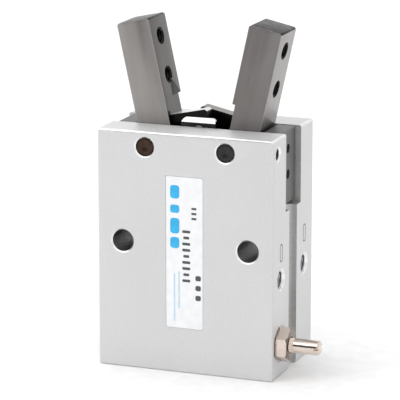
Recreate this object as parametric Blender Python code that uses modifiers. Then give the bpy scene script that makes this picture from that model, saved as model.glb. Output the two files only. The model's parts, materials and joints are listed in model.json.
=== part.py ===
"""A two-finger angular air gripper with a 20 mm piston.

The origin is the middle of the underside. X runs across the two fingers, -Y is the labelled front
and Z is up. Lengths are metres and angles are radians. The fingers stand part open.
"""

import math

import bmesh
import bpy
from mathutils import Matrix, Vector

# ---- driving dimensions -------------------------------------------------------------------------

BODY_WIDTH = 0.042
BODY_DEPTH = 0.0276
BODY_HEIGHT = 0.0552
BODY_EDGE = 0.0004

SLOT_WIDTH = 0.0104
SLOT_FLOOR = 0.0374
BORE_RADIUS = 0.010
BORE_TOP = 0.031
RING_GROOVE_RADIUS = 0.0109
RING_GROOVE_LOW = 0.00045
RING_GROOVE_HIGH = 0.00145
SEAL_POCKET_RADIUS = 0.0065
SEAL_POCKET_TOP = 0.0346
BUSH_HOLE_RADIUS = 0.0054

PIVOT_X = 0.0096
PIVOT_Z = 0.0516
PIN_RADIUS = 0.002
OPEN_ANGLE = math.radians(12.4)

FINGER_INNER = -0.0035
FINGER_OUTER = 0.0043
FINGER_TOP = 0.0275
FINGER_WIDTH = 0.010
FINGER_HOLES = (0.0138, 0.0228)
FINGER_HOLE_RADIUS = 0.00165
FINGER_TOP_EDGE = 0.0004

ARM_TIP = -0.0123
ARM_TOP = 0.0050
ARM_BOTTOM = -0.0043
ARM_SIDE = 0.0033
ARM_GAP = 0.00015
FORK_SLOT = 0.00425
FORK_ROOT = -0.0075
TIP_RELIEF_TOP = 0.0089
TIP_RELIEF_DEPTH = 0.0007

YOKE_HALF_WIDTH = 0.0041
YOKE_ABOVE_PIN = 0.0035
YOKE_BELOW_PIN = 0.0087
YOKE_FLOOR_BELOW_PIN = 0.0062
YOKE_CHAMFER = 0.0010
YOKE_CORNER = 0.0012

ROD_RADIUS = 0.004
ROD_SPIGOT_RADIUS = 0.0022
ROD_SPIGOT_LENGTH = 0.0020
ROD_TAIL_RADIUS = 0.0025
PISTON_RADIUS = 0.0098
PISTON_TOP = 0.0290
PISTON_BOTTOM = 0.0118
PISTON_RECESS_DEPTH = 0.0045
PISTON_RECESS_RADIUS = 0.0055
PISTON_NUT_ACROSS_FLATS = 0.008

# Each groove is its top height, its bottom height and its inner radius.
PISTON_SEAL_GROOVE = (0.0275, 0.0253, 0.0076)
MAGNET_GROOVE = (0.0238, 0.0200, 0.0076)
WEAR_RING_GROOVE = (0.0172, 0.0140, 0.0088)
CAP_SEAL_GROOVE = (0.0051, 0.0032, 0.0081)

CAP_RADIUS = 0.0098
CAP_TOP = 0.0064
CAP_FLANGE_BOTTOM = 0.0017
CAP_BOSS_RADIUS = 0.0070
CAP_SEAL_WIRE = 0.00082
RING_OUTER = 0.0107
RING_INNER = 0.0091
RING_HALF_THICKNESS = 0.0004
RING_EAR_RADIUS = 0.0012
RING_EAR_CENTRE = 0.0089

MOUNT_HOLE_X = 0.015
MOUNT_HOLE_Z = 0.0296
MOUNT_HOLE_RADIUS = 0.0025
BASE_THREAD_RADIUS = 0.0021
BASE_THREAD_DEPTH = 0.010

PORT_Y = 0.008
PORT_Z = 0.0224
PORT_RADIUS = 0.0021
PORT_MOUTH_RADIUS = 0.0026
PORT_DEPTH = 0.007
PASSAGE_RADIUS = 0.001
PASSAGE_X = 0.0146
PLUG_SEAT_RADIUS = 0.0014
PLUG_SEAT_DEPTH = 0.0038
PLUG_RADIUS = 0.00125

GROOVE_WIDTH = 0.0054
GROOVE_DEPTH = 0.0033

NEEDLE_Y = -0.0085
NEEDLE_Z = 0.0076
NEEDLE_RADIUS = 0.0017
NEEDLE_END_X = 0.0306
NEEDLE_SHOULDER_X = 0.0131
NEEDLE_TIP_X = 0.0098
NEEDLE_SEAL_X = 0.0178
NEEDLE_SEAL_RADIUS = 0.0011
NEEDLE_SEAL_WIRE = 0.00036
THROTTLE_HOLE_START_X = 0.0110
THROTTLE_SEAT_START_X = 0.0045
NUT_ACROSS_FLATS = 0.007
NUT_THICKNESS = 0.0028
NUT_SEAT_RADIUS = 0.0043
NUT_SEAT_DEPTH = 0.00015

SET_SCREW_Y = -0.0104
SET_SCREW_RADIUS = 0.0013

COVER_INNER_X = 0.0154
COVER_OUTER_X = 0.0197
COVER_BOTTOM = 0.0382
COVER_SCREW_HEIGHTS = {"lower": 0.0449, "upper": 0.0508}
COVER_SCREW_RADIUS = 0.0010

LABEL_WIDTH = 0.0088
LABEL_LOW = 0.0105
LABEL_HIGH = 0.0455
LABEL_THICKNESS = 0.00012
LABEL_RECESS = 0.0002

GAP = 0.0003
FINE_GAP = 0.00015
OVERCUT = 0.001

# ---- worked-out places --------------------------------------------------------------------------

BODY_FRONT_Y = -BODY_DEPTH / 2
BODY_SIDE_X = BODY_WIDTH / 2
CROSS_PIN_Z = PIVOT_Z + PIVOT_X * math.tan(OPEN_ANGLE)
YOKE_TOP = CROSS_PIN_Z + YOKE_ABOVE_PIN
YOKE_BASE = CROSS_PIN_Z - YOKE_BELOW_PIN
YOKE_FLOOR = CROSS_PIN_Z - YOKE_FLOOR_BELOW_PIN

ROUND = 40
SMALL_ROUND = 24
MERGE = 0.00001
SHARP_ANGLE = math.radians(35)


# ---- scene, collections and materials -----------------------------------------------------------

def clear_scene():
    for old in list(bpy.data.objects):
        bpy.data.objects.remove(old, do_unlink=True)


def new_collection(name):
    collection = bpy.data.collections.new(name)
    bpy.context.scene.collection.children.link(collection)
    return collection


def material(name, colour, roughness, metallic):
    made = bpy.data.materials.new(name)
    made.use_nodes = True
    shader = made.node_tree.nodes["Principled BSDF"]
    shader.inputs["Base Color"].default_value = (*colour, 1.0)
    shader.inputs["Roughness"].default_value = roughness
    shader.inputs["Metallic"].default_value = metallic
    return made


def anodised_aluminium(name):
    return material(name, (0.70, 0.70, 0.71), 0.42, 0.8)


def lever_steel(name):
    return material(name, (0.27, 0.25, 0.25), 0.30, 1.0)


def bright_steel(name):
    return material(name, (0.62, 0.62, 0.63), 0.22, 1.0)


def black_steel(name):
    return material(name, (0.05, 0.05, 0.05), 0.40, 0.9)


def champagne_nickel(name):
    return material(name, (0.66, 0.58, 0.52), 0.20, 1.0)


def nitrile_rubber(name):
    return material(name, (0.02, 0.02, 0.02), 0.60, 0.0)


def urethane(name):
    return material(name, (0.62, 0.47, 0.20), 0.45, 0.0)


def bearing_bronze(name):
    return material(name, (0.50, 0.33, 0.16), 0.40, 1.0)


def label_film(name):
    return material(name, (0.80, 0.81, 0.82), 0.40, 0.1)


# ---- shape tools --------------------------------------------------------------------------------

def put(name, mesh, finish, place=(0, 0, 0)):
    """An object of this mesh. A cutter has no finish: it is hidden and goes with the cutters."""
    made = bpy.data.objects.new(name, mesh)
    made.location = place
    if finish is None:
        made.hide_render = True
        made.display_type = "WIRE"
        CUTTERS.objects.link(made)
    else:
        mesh.materials.append(finish(name))
        PARTS.objects.link(made)
    return made


def smooth(made):
    made.data.shade_smooth()
    made.data.set_sharp_from_angle(angle=SHARP_ANGLE)


def box(name, low, high, finish=None):
    """A box between two corners."""
    low = Vector(low)
    high = Vector(high)
    mesh = bpy.data.meshes.new(name)
    shape = bmesh.new()
    bmesh.ops.create_cube(shape, size=1.0)
    bmesh.ops.scale(shape, vec=high - low, verts=shape.verts)
    shape.to_mesh(mesh)
    shape.free()
    return put(name, mesh, finish, (low + high) / 2)


def bar(name, radius, start, end, finish=None, sides=SMALL_ROUND, end_radius=None):
    """A round bar, or a prism with few sides, from one point to another."""
    start = Vector(start)
    end = Vector(end)
    mesh = bpy.data.meshes.new(name)
    shape = bmesh.new()
    bmesh.ops.create_cone(
        shape,
        cap_ends=True,
        segments=sides,
        radius1=radius,
        radius2=radius if end_radius is None else end_radius,
        depth=(end - start).length,
    )
    shape.to_mesh(mesh)
    shape.free()
    made = put(name, mesh, finish, (start + end) / 2)
    made.rotation_euler = (end - start).to_track_quat("Z", "Y").to_euler()
    if sides > 6:
        smooth(made)
    return made


def turned(name, profile, finish=None, closed=False, steps=ROUND):
    """A body turned about Z from (radius, height) points, down the outer side.

    A closed profile makes a ring; an open one starts and ends on the axis.
    """
    mesh = bpy.data.meshes.new(name)
    points = [(radius, 0, height) for radius, height in profile]
    edges = [(i, i + 1) for i in range(len(points) - 1)]
    if closed:
        edges.append((len(points) - 1, 0))
    mesh.from_pydata(points, edges, [])
    made = put(name, mesh, finish)
    screw = made.modifiers.new("Turn", "SCREW")
    screw.axis = "Z"
    screw.angle = 2 * math.pi
    screw.steps = steps
    screw.render_steps = steps
    screw.use_merge_vertices = True
    screw.merge_threshold = MERGE
    screw.use_smooth_shade = True
    return made


def sleeve(name, inner, outer, low, high, finish=None, steps=ROUND):
    """A plain ring about Z."""
    profile = [(outer, high), (outer, low), (inner, low), (inner, high)]
    return turned(name, profile, finish, closed=True, steps=steps)


def plate(name, outlines, half_depth, finish=None, upright=True):
    """A flat outline with a thickness, made a mesh. Upright, its outline stands in the XZ plane."""
    curve = bpy.data.curves.new(name, "CURVE")
    curve.dimensions = "2D"
    curve.fill_mode = "BOTH"
    curve.extrude = half_depth
    for outline in outlines:
        line = curve.splines.new("POLY")
        line.points.add(len(outline) - 1)
        for point, (across, along) in zip(line.points, outline):
            point.co = (across, along, 0, 1)
        line.use_cyclic_u = True
    shape_source = bpy.data.objects.new(name + "_outline", curve)
    CUTTERS.objects.link(shape_source)
    graph = bpy.context.evaluated_depsgraph_get()
    mesh = bpy.data.meshes.new_from_object(shape_source.evaluated_get(graph))
    bpy.data.objects.remove(shape_source, do_unlink=True)
    shape = bmesh.new()
    shape.from_mesh(mesh)
    bmesh.ops.remove_doubles(shape, verts=shape.verts, dist=MERGE)
    if upright:
        bmesh.ops.rotate(shape, matrix=Matrix.Rotation(math.pi / 2, 3, "X"), verts=shape.verts)
    bmesh.ops.recalc_face_normals(shape, faces=shape.faces)
    shape.to_mesh(mesh)
    shape.free()
    mesh.materials.clear()
    return put(name, mesh, finish)


def arc(centre, radius, start, end, count):
    """Points along an arc, with angles in degrees."""
    points = []
    for i in range(count):
        angle = math.radians(start + (end - start) * i / (count - 1))
        across = centre[0] + radius * math.cos(angle)
        along = centre[1] + radius * math.sin(angle)
        points.append((across, along))
    return points


def combine(target, other, operation):
    """Adds a Boolean modifier, and returns its target so that calls can follow each other."""
    modifier = target.modifiers.new(other.name, "BOOLEAN")
    modifier.operation = operation
    modifier.solver = "EXACT"
    modifier.object = other
    return target


def cut(target, *cutters):
    for cutter in cutters:
        combine(target, cutter, "DIFFERENCE")
    return target


def bevel(made, width, segments=2):
    modifier = made.modifiers.new("Edges", "BEVEL")
    modifier.width = width
    modifier.segments = segments
    modifier.limit_method = "ANGLE"
    modifier.angle_limit = SHARP_ANGLE
    return made


def fix_to(made, parent):
    made.parent = parent
    return made


# ---- housing ------------------------------------------------------------------------------------

def cylinder_hollow():
    """The turned hollow from the rod's guide down through the bore and the retaining ring's groove."""
    top = SLOT_FLOOR + OVERCUT
    return turned("cut_cylinder", [
        (0, top), (BUSH_HOLE_RADIUS, top), (BUSH_HOLE_RADIUS, SEAL_POCKET_TOP),
        (SEAL_POCKET_RADIUS, SEAL_POCKET_TOP), (SEAL_POCKET_RADIUS, BORE_TOP), (BORE_RADIUS, BORE_TOP),
        (BORE_RADIUS, RING_GROOVE_HIGH), (RING_GROOVE_RADIUS, RING_GROOVE_HIGH),
        (RING_GROOVE_RADIUS, RING_GROOVE_LOW), (BORE_RADIUS, RING_GROOVE_LOW), (BORE_RADIUS, -OVERCUT),
        (0, -OVERCUT),
    ])


def body_fixing_holes():
    """The through holes, the base threads and the holes for the finger shafts and their locks."""
    cutters = []
    front = BODY_FRONT_Y - OVERCUT
    for side in (-1, 1):
        x = side * MOUNT_HOLE_X
        pin_x = side * PIVOT_X
        tag = "right" if side > 0 else "left"
        through = bar("cut_through_" + tag, MOUNT_HOLE_RADIUS,
                      (x, front, MOUNT_HOLE_Z), (x, -front, MOUNT_HOLE_Z))
        thread = bar("cut_thread_" + tag, BASE_THREAD_RADIUS,
                     (x, 0, -OVERCUT), (x, 0, BASE_THREAD_DEPTH))
        pin = bar("cut_pin_" + tag, PIN_RADIUS + FINE_GAP,
                  (pin_x, front, PIVOT_Z), (pin_x, -front, PIVOT_Z))
        lock = bar("cut_lock_" + tag, SET_SCREW_RADIUS + FINE_GAP,
                   (pin_x, SET_SCREW_Y, PIVOT_Z), (side * (BODY_SIDE_X + OVERCUT), SET_SCREW_Y, PIVOT_Z))
        cutters += [through, thread, pin, lock]
    return cutters


def body_air_holes():
    """The two ports, the throttle's hole and the drilled passages that join them to the bore."""
    open_y = -PORT_Y
    outside = BODY_SIDE_X + OVERCUT
    inner = BODY_SIDE_X - PORT_DEPTH
    cutters = []
    for tag, y in (("open", open_y), ("shut", PORT_Y)):
        cutters.append(bar("cut_port_" + tag, PORT_RADIUS, (inner, y, PORT_Z), (outside, y, PORT_Z)))
        cutters.append(bar("cut_mouth_" + tag, PORT_RADIUS, (BODY_SIDE_X - 2 * GAP, y, PORT_Z),
                           (BODY_SIDE_X + GAP / 2, y, PORT_Z), end_radius=PORT_MOUTH_RADIUS))
    cutters.append(bar("cut_throttle", NEEDLE_RADIUS + GAP,
                       (THROTTLE_HOLE_START_X, NEEDLE_Y, NEEDLE_Z), (outside, NEEDLE_Y, NEEDLE_Z)))
    cutters.append(bar("cut_throttle_seat", PASSAGE_RADIUS,
                       (THROTTLE_SEAT_START_X, NEEDLE_Y, NEEDLE_Z),
                       (THROTTLE_HOLE_START_X + OVERCUT, NEEDLE_Y, NEEDLE_Z)))
    cutters.append(bar("cut_nut_seat", NUT_SEAT_RADIUS,
                       (BODY_SIDE_X - NUT_SEAT_DEPTH, NEEDLE_Y, NEEDLE_Z), (outside, NEEDLE_Y, NEEDLE_Z),
                       sides=ROUND))
    cutters.append(bar("cut_open_passage", PASSAGE_RADIUS,
                       (PASSAGE_X, open_y, -OVERCUT), (PASSAGE_X, open_y, PORT_Z)))
    cutters.append(bar("cut_plug_seat", PLUG_SEAT_RADIUS,
                       (PASSAGE_X, open_y, -OVERCUT), (PASSAGE_X, open_y, PLUG_SEAT_DEPTH)))
    cutters.append(bar("cut_shut_passage", PASSAGE_RADIUS,
                       (PASSAGE_X, PORT_Y, PORT_Z), (BORE_RADIUS / 2, PORT_Y, BORE_TOP - OVERCUT)))
    return cutters


def switch_groove(side):
    """A round-bottomed groove up the side face, for a position switch."""
    tag = "right" if side > 0 else "left"
    half = GROOVE_WIDTH / 2
    middle = BODY_SIDE_X - GROOVE_DEPTH + half
    mouth = BODY_SIDE_X + OVERCUT
    floor = arc((middle, 0), half, 90, 270, 13)
    outline = [(side * x, side * y) for x, y in [(mouth, half), *floor, (mouth, -half)]]
    groove = plate("cut_groove_" + tag, [outline], SLOT_FLOOR / 2 + OVERCUT, upright=False)
    groove.location.z = SLOT_FLOOR / 2
    return groove


def make_body():
    """The aluminium block: it starts with bevelled edges, and every hollow is cut from it."""
    x = BODY_SIDE_X
    y = BODY_DEPTH / 2
    body = box("body", (-x, -y, 0), (x, y, BODY_HEIGHT), anodised_aluminium)
    bevel(body, BODY_EDGE)
    slot = box("cut_slot", (-x - OVERCUT, -SLOT_WIDTH / 2, SLOT_FLOOR),
               (x + OVERCUT, SLOT_WIDTH / 2, BODY_HEIGHT + OVERCUT))
    cut(body, slot, switch_groove(-1), switch_groove(1), label_recess())
    cut(body, cylinder_hollow(), *body_fixing_holes(), *body_air_holes())


def label_recess():
    """The shallow pocket that keeps the label from standing proud of the front."""
    x = LABEL_WIDTH / 2 + FINE_GAP
    return box("cut_label", (-x, BODY_FRONT_Y - OVERCUT, LABEL_LOW - FINE_GAP),
               (x, BODY_FRONT_Y + LABEL_RECESS, LABEL_HIGH + FINE_GAP))


def make_label():
    x = LABEL_WIDTH / 2
    front = BODY_FRONT_Y + (LABEL_RECESS - LABEL_THICKNESS) / 2
    box("label_plate", (-x, front, LABEL_LOW), (x, front + LABEL_THICKNESS, LABEL_HIGH), label_film)


def make_side_covers():
    """The two dark blocks that close the lever slot, each with two socket screws."""
    half = SLOT_WIDTH / 2 - 0.0002
    for side, tag in ((-1, "left"), (1, "right")):
        low_x, high_x = sorted((side * COVER_INNER_X, side * COVER_OUTER_X))
        cover = box("side_cover_" + tag, (low_x, -half, COVER_BOTTOM),
                    (high_x, half, BODY_HEIGHT - 0.0001), lever_steel)
        bevel(cover, 0.0002, 1)
        inner = side * (COVER_INNER_X - OVERCUT)
        outer = side * (COVER_OUTER_X + OVERCUT)
        for level, z in COVER_SCREW_HEIGHTS.items():
            hole = bar(f"cut_cover_{level}_{tag}", COVER_SCREW_RADIUS + FINE_GAP, (inner, 0, z), (outer, 0, z))
            cut(cover, hole)
            grub_screw(f"cover_screw_{level}_{tag}", COVER_SCREW_RADIUS,
                       (side * (COVER_INNER_X + 0.0006), 0, z), (side * (COVER_OUTER_X - 0.0007), 0, z))


def grub_screw(name, radius, start, end):
    """A headless socket screw. Its socket opens at the end point."""
    start = Vector(start)
    end = Vector(end)
    socket_depth = (end - start).normalized() * radius * 1.4
    screw = bar(name, radius, start, end, black_steel)
    socket = bar("cut_socket_" + name, radius * 0.55, end - socket_depth, end + socket_depth, sides=6)
    return cut(screw, socket)


def make_pivot_pins():
    """The finger shafts, which run through both cheeks of the body, and the screws that lock them."""
    half_length = BODY_DEPTH / 2 - GAP
    for side, tag in ((-1, "left"), (1, "right")):
        x = side * PIVOT_X
        pin = bar("pivot_pin_" + tag, PIN_RADIUS, (x, -half_length, PIVOT_Z), (x, half_length, PIVOT_Z),
                  bright_steel, sides=ROUND)
        bevel(pin, 0.0002, 1)
        grub_screw("pin_lock_screw_" + tag, SET_SCREW_RADIUS,
                   (side * (PIVOT_X + PIN_RADIUS + GAP), SET_SCREW_Y, PIVOT_Z),
                   (side * (BODY_SIDE_X - 0.0030), SET_SCREW_Y, PIVOT_Z))


# ---- fingers ------------------------------------------------------------------------------------

def lever_outline():
    """The whole lever from the side, with its shaft at (0, 0): blade up, round heel, arm inwards."""
    edge = 0.0005
    top_edge = FINGER_TOP_EDGE
    heel = arc((0, 0), FINGER_OUTER, 0, -90, 9)
    tip = [(ARM_TIP, ARM_BOTTOM + edge), (ARM_TIP, ARM_TOP - edge)]
    return [
        (FINGER_OUTER - top_edge, FINGER_TOP),
        (FINGER_OUTER, FINGER_TOP - top_edge),
        *heel,
        (ARM_TIP + edge, ARM_BOTTOM),
        *tip,
        (ARM_TIP + edge, ARM_TOP),
        (FINGER_INNER, ARM_TOP),
        (FINGER_INNER, FINGER_TOP - top_edge),
        (FINGER_INNER + top_edge, FINGER_TOP),
    ]


def fork_outline():
    """The slot in the arm that holds the crosshead's pin: open at the tip, round at its root."""
    half = FORK_SLOT / 2
    root = arc((FORK_ROOT + half, 0), half, -90, 90, 9)
    return [(ARM_TIP - OVERCUT, -half), *root, (ARM_TIP - OVERCUT, half)]


def make_finger(name, turn):
    """One lever. Both are the same part, and the left one is turned half a turn about Z."""
    pivot = bpy.data.objects.new(name + "_pivot", None)
    PARTS.objects.link(pivot)
    half = FINGER_WIDTH / 2
    far = 0.02
    lever = plate(name, [lever_outline()], half, lever_steel)
    bevel(lever, 0.0002, 1)
    # The arm is thinner than the blade, and lies wholly on one side of the middle.
    front_clear = box("cut_arm_front_" + name, (ARM_TIP - OVERCUT, -far, -far),
                      (FINGER_INNER, ARM_GAP, ARM_TOP + OVERCUT))
    back_clear = box("cut_arm_back_" + name, (ARM_TIP - OVERCUT, ARM_SIDE, -far),
                     (FINGER_INNER, far, ARM_TOP + OVERCUT))
    relief = box("cut_relief_" + name, (FINGER_INNER - OVERCUT, -far, -far),
                 (FINGER_INNER + TIP_RELIEF_DEPTH, ARM_GAP, TIP_RELIEF_TOP))
    fork = plate("cut_fork_" + name, [fork_outline()], far)
    shaft_hole = bar("cut_shaft_" + name, PIN_RADIUS + 0.0001, (0, -far, 0), (0, far, 0), sides=ROUND)
    cutters = [front_clear, back_clear, relief, fork, shaft_hole]
    for number, height in enumerate(FINGER_HOLES):
        hole = bar(f"cut_hole_{name}_{number}", FINGER_HOLE_RADIUS, (-far, 0, height), (far, 0, height))
        cutters.append(hole)
    cut(lever, *cutters)
    for piece in (lever, *cutters):
        fix_to(piece, pivot)
    place = Matrix.Translation((PIVOT_X, 0, PIVOT_Z)) @ Matrix.Rotation(OPEN_ANGLE, 4, "Y")
    pivot.matrix_world = Matrix.Rotation(turn, 4, "Z") @ place


# ---- crosshead and piston -----------------------------------------------------------------------

def cheek_outline():
    """The yoke from the front: a straight-sided cheek with rounded shoulders."""
    x = YOKE_HALF_WIDTH
    corner = YOKE_CORNER
    right = arc((x - corner, YOKE_TOP - corner), corner, 0, 90, 6)
    left = arc((-x + corner, YOKE_TOP - corner), corner, 90, 180, 6)
    return [(x, YOKE_BASE), *right, *left, (-x, YOKE_BASE)]


def make_crosshead():
    """A yoke whose two cheeks stand either side of the lever arms, with the roller pin across it."""
    half = FINGER_WIDTH / 2
    yoke = plate("crosshead", [cheek_outline()], half, bright_steel)
    bevel(yoke, 0.0002, 1)
    arm_room = ARM_SIDE + GAP
    wide = YOKE_HALF_WIDTH + OVERCUT
    gap = box("cut_yoke_gap", (-wide, -arm_room, YOKE_FLOOR), (wide, arm_room, YOKE_TOP + OVERCUT))
    cutters = [gap]
    lean_half = YOKE_CHAMFER / math.sqrt(2)
    for side in (-1, 1):
        lean = box(f"cut_yoke_chamfer_{side}",
                   (-wide, -lean_half, -lean_half), (wide, lean_half, lean_half))
        lean.location = (0, side * half, YOKE_TOP)
        lean.rotation_euler = (math.pi / 4, 0, 0)
        cutters.append(lean)
    cutters.append(bar("cut_cross_pin", PIN_RADIUS + FINE_GAP,
                       (0, -FINGER_WIDTH, CROSS_PIN_Z), (0, FINGER_WIDTH, CROSS_PIN_Z), sides=ROUND))
    cutters.append(bar("cut_rod_spigot", ROD_SPIGOT_RADIUS + FINE_GAP,
                       (0, 0, YOKE_BASE - OVERCUT), (0, 0, YOKE_BASE + ROD_SPIGOT_LENGTH)))
    cut(yoke, *cutters)
    pin_half = half - GAP
    pin = bar("crosshead_pin", PIN_RADIUS, (0, -pin_half, CROSS_PIN_Z), (0, pin_half, CROSS_PIN_Z),
              bright_steel, sides=ROUND)
    bevel(pin, 0.0002, 1)


def make_piston_rod():
    """The rod: a spigot up into the yoke, a ground shank and a thin tail through the piston."""
    top = YOKE_BASE - GAP
    shoulder = PISTON_TOP + GAP
    tail_end = PISTON_BOTTOM + 0.0006
    edge = 0.0004
    turned("piston_rod", [
        (0, top + ROD_SPIGOT_LENGTH), (ROD_SPIGOT_RADIUS, top + ROD_SPIGOT_LENGTH),
        (ROD_SPIGOT_RADIUS, top), (ROD_RADIUS - edge, top), (ROD_RADIUS, top - edge),
        (ROD_RADIUS, shoulder),
        (ROD_TAIL_RADIUS, shoulder), (ROD_TAIL_RADIUS, tail_end), (0, tail_end),
    ], bright_steel)


def grooved_side(outer, grooves):
    """Profile points down a turned side, with square grooves given as (top, bottom, inner radius)."""
    points = []
    for top, bottom, inner in grooves:
        points += [(outer, top), (inner, top), (inner, bottom), (outer, bottom)]
    return points


def ring_in_groove(name, groove, outer, finish):
    """A plain ring that sits in a groove with a small gap all round."""
    top, bottom, inner = groove
    return sleeve(name, inner + FINE_GAP, outer, bottom + GAP, top - GAP, finish)


def make_piston():
    """The piston with its seal, magnet and wear ring, and the nut that holds it on the rod."""
    edge = 0.0006
    hole = ROD_TAIL_RADIUS + FINE_GAP
    recess_top = PISTON_BOTTOM + PISTON_RECESS_DEPTH
    turned("piston", [
        (PISTON_RADIUS - edge, PISTON_TOP), (PISTON_RADIUS, PISTON_TOP - edge),
        *grooved_side(PISTON_RADIUS, (PISTON_SEAL_GROOVE, MAGNET_GROOVE, WEAR_RING_GROOVE)),
        (PISTON_RADIUS, PISTON_BOTTOM + edge), (PISTON_RADIUS - edge, PISTON_BOTTOM),
        (PISTON_RECESS_RADIUS, PISTON_BOTTOM), (PISTON_RECESS_RADIUS, recess_top), (hole, recess_top),
        (hole, PISTON_TOP),
    ], anodised_aluminium, closed=True)
    ring_in_groove("piston_seal", PISTON_SEAL_GROOVE, BORE_RADIUS - 0.0001, nitrile_rubber)
    ring_in_groove("magnet_ring", MAGNET_GROOVE, PISTON_RADIUS - 0.0002, nitrile_rubber)
    ring_in_groove("wear_ring", WEAR_RING_GROOVE, BORE_RADIUS - 0.0001, urethane)
    nut_low = PISTON_BOTTOM + 3 * GAP
    hex_nut("piston_nut", PISTON_NUT_ACROSS_FLATS, hole, recess_top - GAP - nut_low, bright_steel,
            Matrix.Translation((0, 0, nut_low)))


def hex_nut(name, across_flats, hole_radius, thickness, finish, placed):
    """A hexagon nut with both faces chamfered round, made along Z from zero and then placed."""
    corner = across_flats / math.sqrt(3)
    flat = across_flats / 2
    chamfer = (corner - flat) * 0.6
    inner = flat * 0.96
    nut = bar(name, corner, (0, 0, 0), (0, 0, thickness), finish, sides=6)
    round_off = turned(f"cut_{name}_round", [
        (0, thickness), (inner, thickness), (corner + GAP, thickness - chamfer - GAP * 0.6),
        (corner + GAP, chamfer + GAP * 0.6), (inner, 0), (0, 0),
    ])
    hole = bar(f"cut_{name}_hole", hole_radius, (0, 0, -OVERCUT), (0, 0, thickness + OVERCUT))
    combine(nut, round_off, "INTERSECT")
    cut(nut, hole)
    for piece in (nut, round_off, hole):
        piece.matrix_basis = placed @ piece.matrix_basis


# ---- cylinder ends ------------------------------------------------------------------------------

def make_rod_guide():
    """The bush, seal and washer round the rod where it leaves the cylinder."""
    outer = SEAL_POCKET_RADIUS - GAP / 2
    washer_low = BORE_TOP + GAP
    washer_high = BORE_TOP + 4 * GAP
    lip_low = washer_high + GAP
    lip_high = SEAL_POCKET_TOP - GAP
    groove_top = lip_low + 3 * GAP
    inner = ROD_RADIUS + FINE_GAP
    groove_middle = (inner + outer) / 2
    groove_half = 0.0004
    sleeve("rod_bushing", ROD_RADIUS + FINE_GAP, BUSH_HOLE_RADIUS - FINE_GAP,
           SEAL_POCKET_TOP + GAP, SLOT_FLOOR - GAP, bearing_bronze)
    turned("rod_seal", [
        (outer, lip_high), (outer, lip_low), (groove_middle + groove_half, lip_low),
        (groove_middle, groove_top), (groove_middle - groove_half, lip_low), (inner, lip_low),
        (inner, lip_high),
    ], nitrile_rubber, closed=True)
    sleeve("seal_retainer", ROD_RADIUS + GAP, outer, washer_low, washer_high, bright_steel)


def make_bumpers():
    """Soft rings that stop the piston at each end of its stroke."""
    sleeve("head_bumper", 0.0050, 0.0085, 0.0295, 0.0307, urethane)
    sleeve("base_bumper", 0.0058, 0.0075, 0.0067, 0.0087, urethane)


def make_end_cap():
    """The disc that closes the cylinder. Its middle boss is level with the underside."""
    top, bottom, inner = CAP_SEAL_GROOVE
    edge = 0.0003
    turned("end_cap", [
        (0, CAP_TOP), (CAP_RADIUS - edge, CAP_TOP), (CAP_RADIUS, CAP_TOP - edge),
        *grooved_side(CAP_RADIUS, (CAP_SEAL_GROOVE,)),
        (CAP_RADIUS, CAP_FLANGE_BOTTOM), (CAP_BOSS_RADIUS, CAP_FLANGE_BOTTOM), (CAP_BOSS_RADIUS, edge),
        (CAP_BOSS_RADIUS - edge, 0), (0, 0),
    ], anodised_aluminium)
    section = ring_section((inner + BORE_RADIUS) / 2, CAP_SEAL_WIRE, (top + bottom) / 2)
    turned("end_cap_oring", section, nitrile_rubber, closed=True)


def ring_section(radius, wire, height):
    """A round section for a turned ring, listed down its outer side first."""
    count = 10
    points = []
    for i in range(count):
        angle = math.pi / 2 - 2 * math.pi * i / count
        points.append((radius + wire * math.cos(angle), height + wire * math.sin(angle)))
    return points


def make_retaining_ring():
    """An internal spring ring: an open hoop with two holed ears."""
    half_gap = 22
    taper = 8
    half = RING_HALF_THICKNESS
    middle = (RING_GROOVE_LOW + RING_GROOVE_HIGH) / 2
    hoop = arc((0, 0), RING_OUTER, -90 + half_gap, 270 - half_gap, 41)
    back = arc((0, 0), RING_INNER, 270 - half_gap - taper, -90 + half_gap + taper, 37)
    ring = plate("retaining_ring", [hoop + back], half, bright_steel, upright=False)
    ring.location.z = middle
    for side in (-1, 1):
        angle = math.radians(-90 + side * (half_gap + taper / 2))
        x = RING_EAR_CENTRE * math.cos(angle)
        y = RING_EAR_CENTRE * math.sin(angle)
        ear = bar(f"ear_{side}", RING_EAR_RADIUS, (x, y, middle - half), (x, y, middle + half))
        hole = bar(f"cut_ear_{side}", RING_EAR_RADIUS * 0.4,
                   (x, y, middle - OVERCUT), (x, y, middle + OVERCUT), sides=12)
        combine(ring, ear, "UNION")
        cut(ring, hole)


def make_passage_plug():
    """The steel ball pressed into the mouth of the drilled passage."""
    mesh = bpy.data.meshes.new("passage_plug")
    shape = bmesh.new()
    bmesh.ops.create_uvsphere(shape, u_segments=20, v_segments=12, radius=PLUG_RADIUS)
    shape.to_mesh(mesh)
    shape.free()
    ball = put("passage_plug", mesh, bright_steel, (PASSAGE_X, -PORT_Y, PLUG_SEAT_DEPTH / 2))
    smooth(ball)


# ---- throttle -----------------------------------------------------------------------------------

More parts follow.
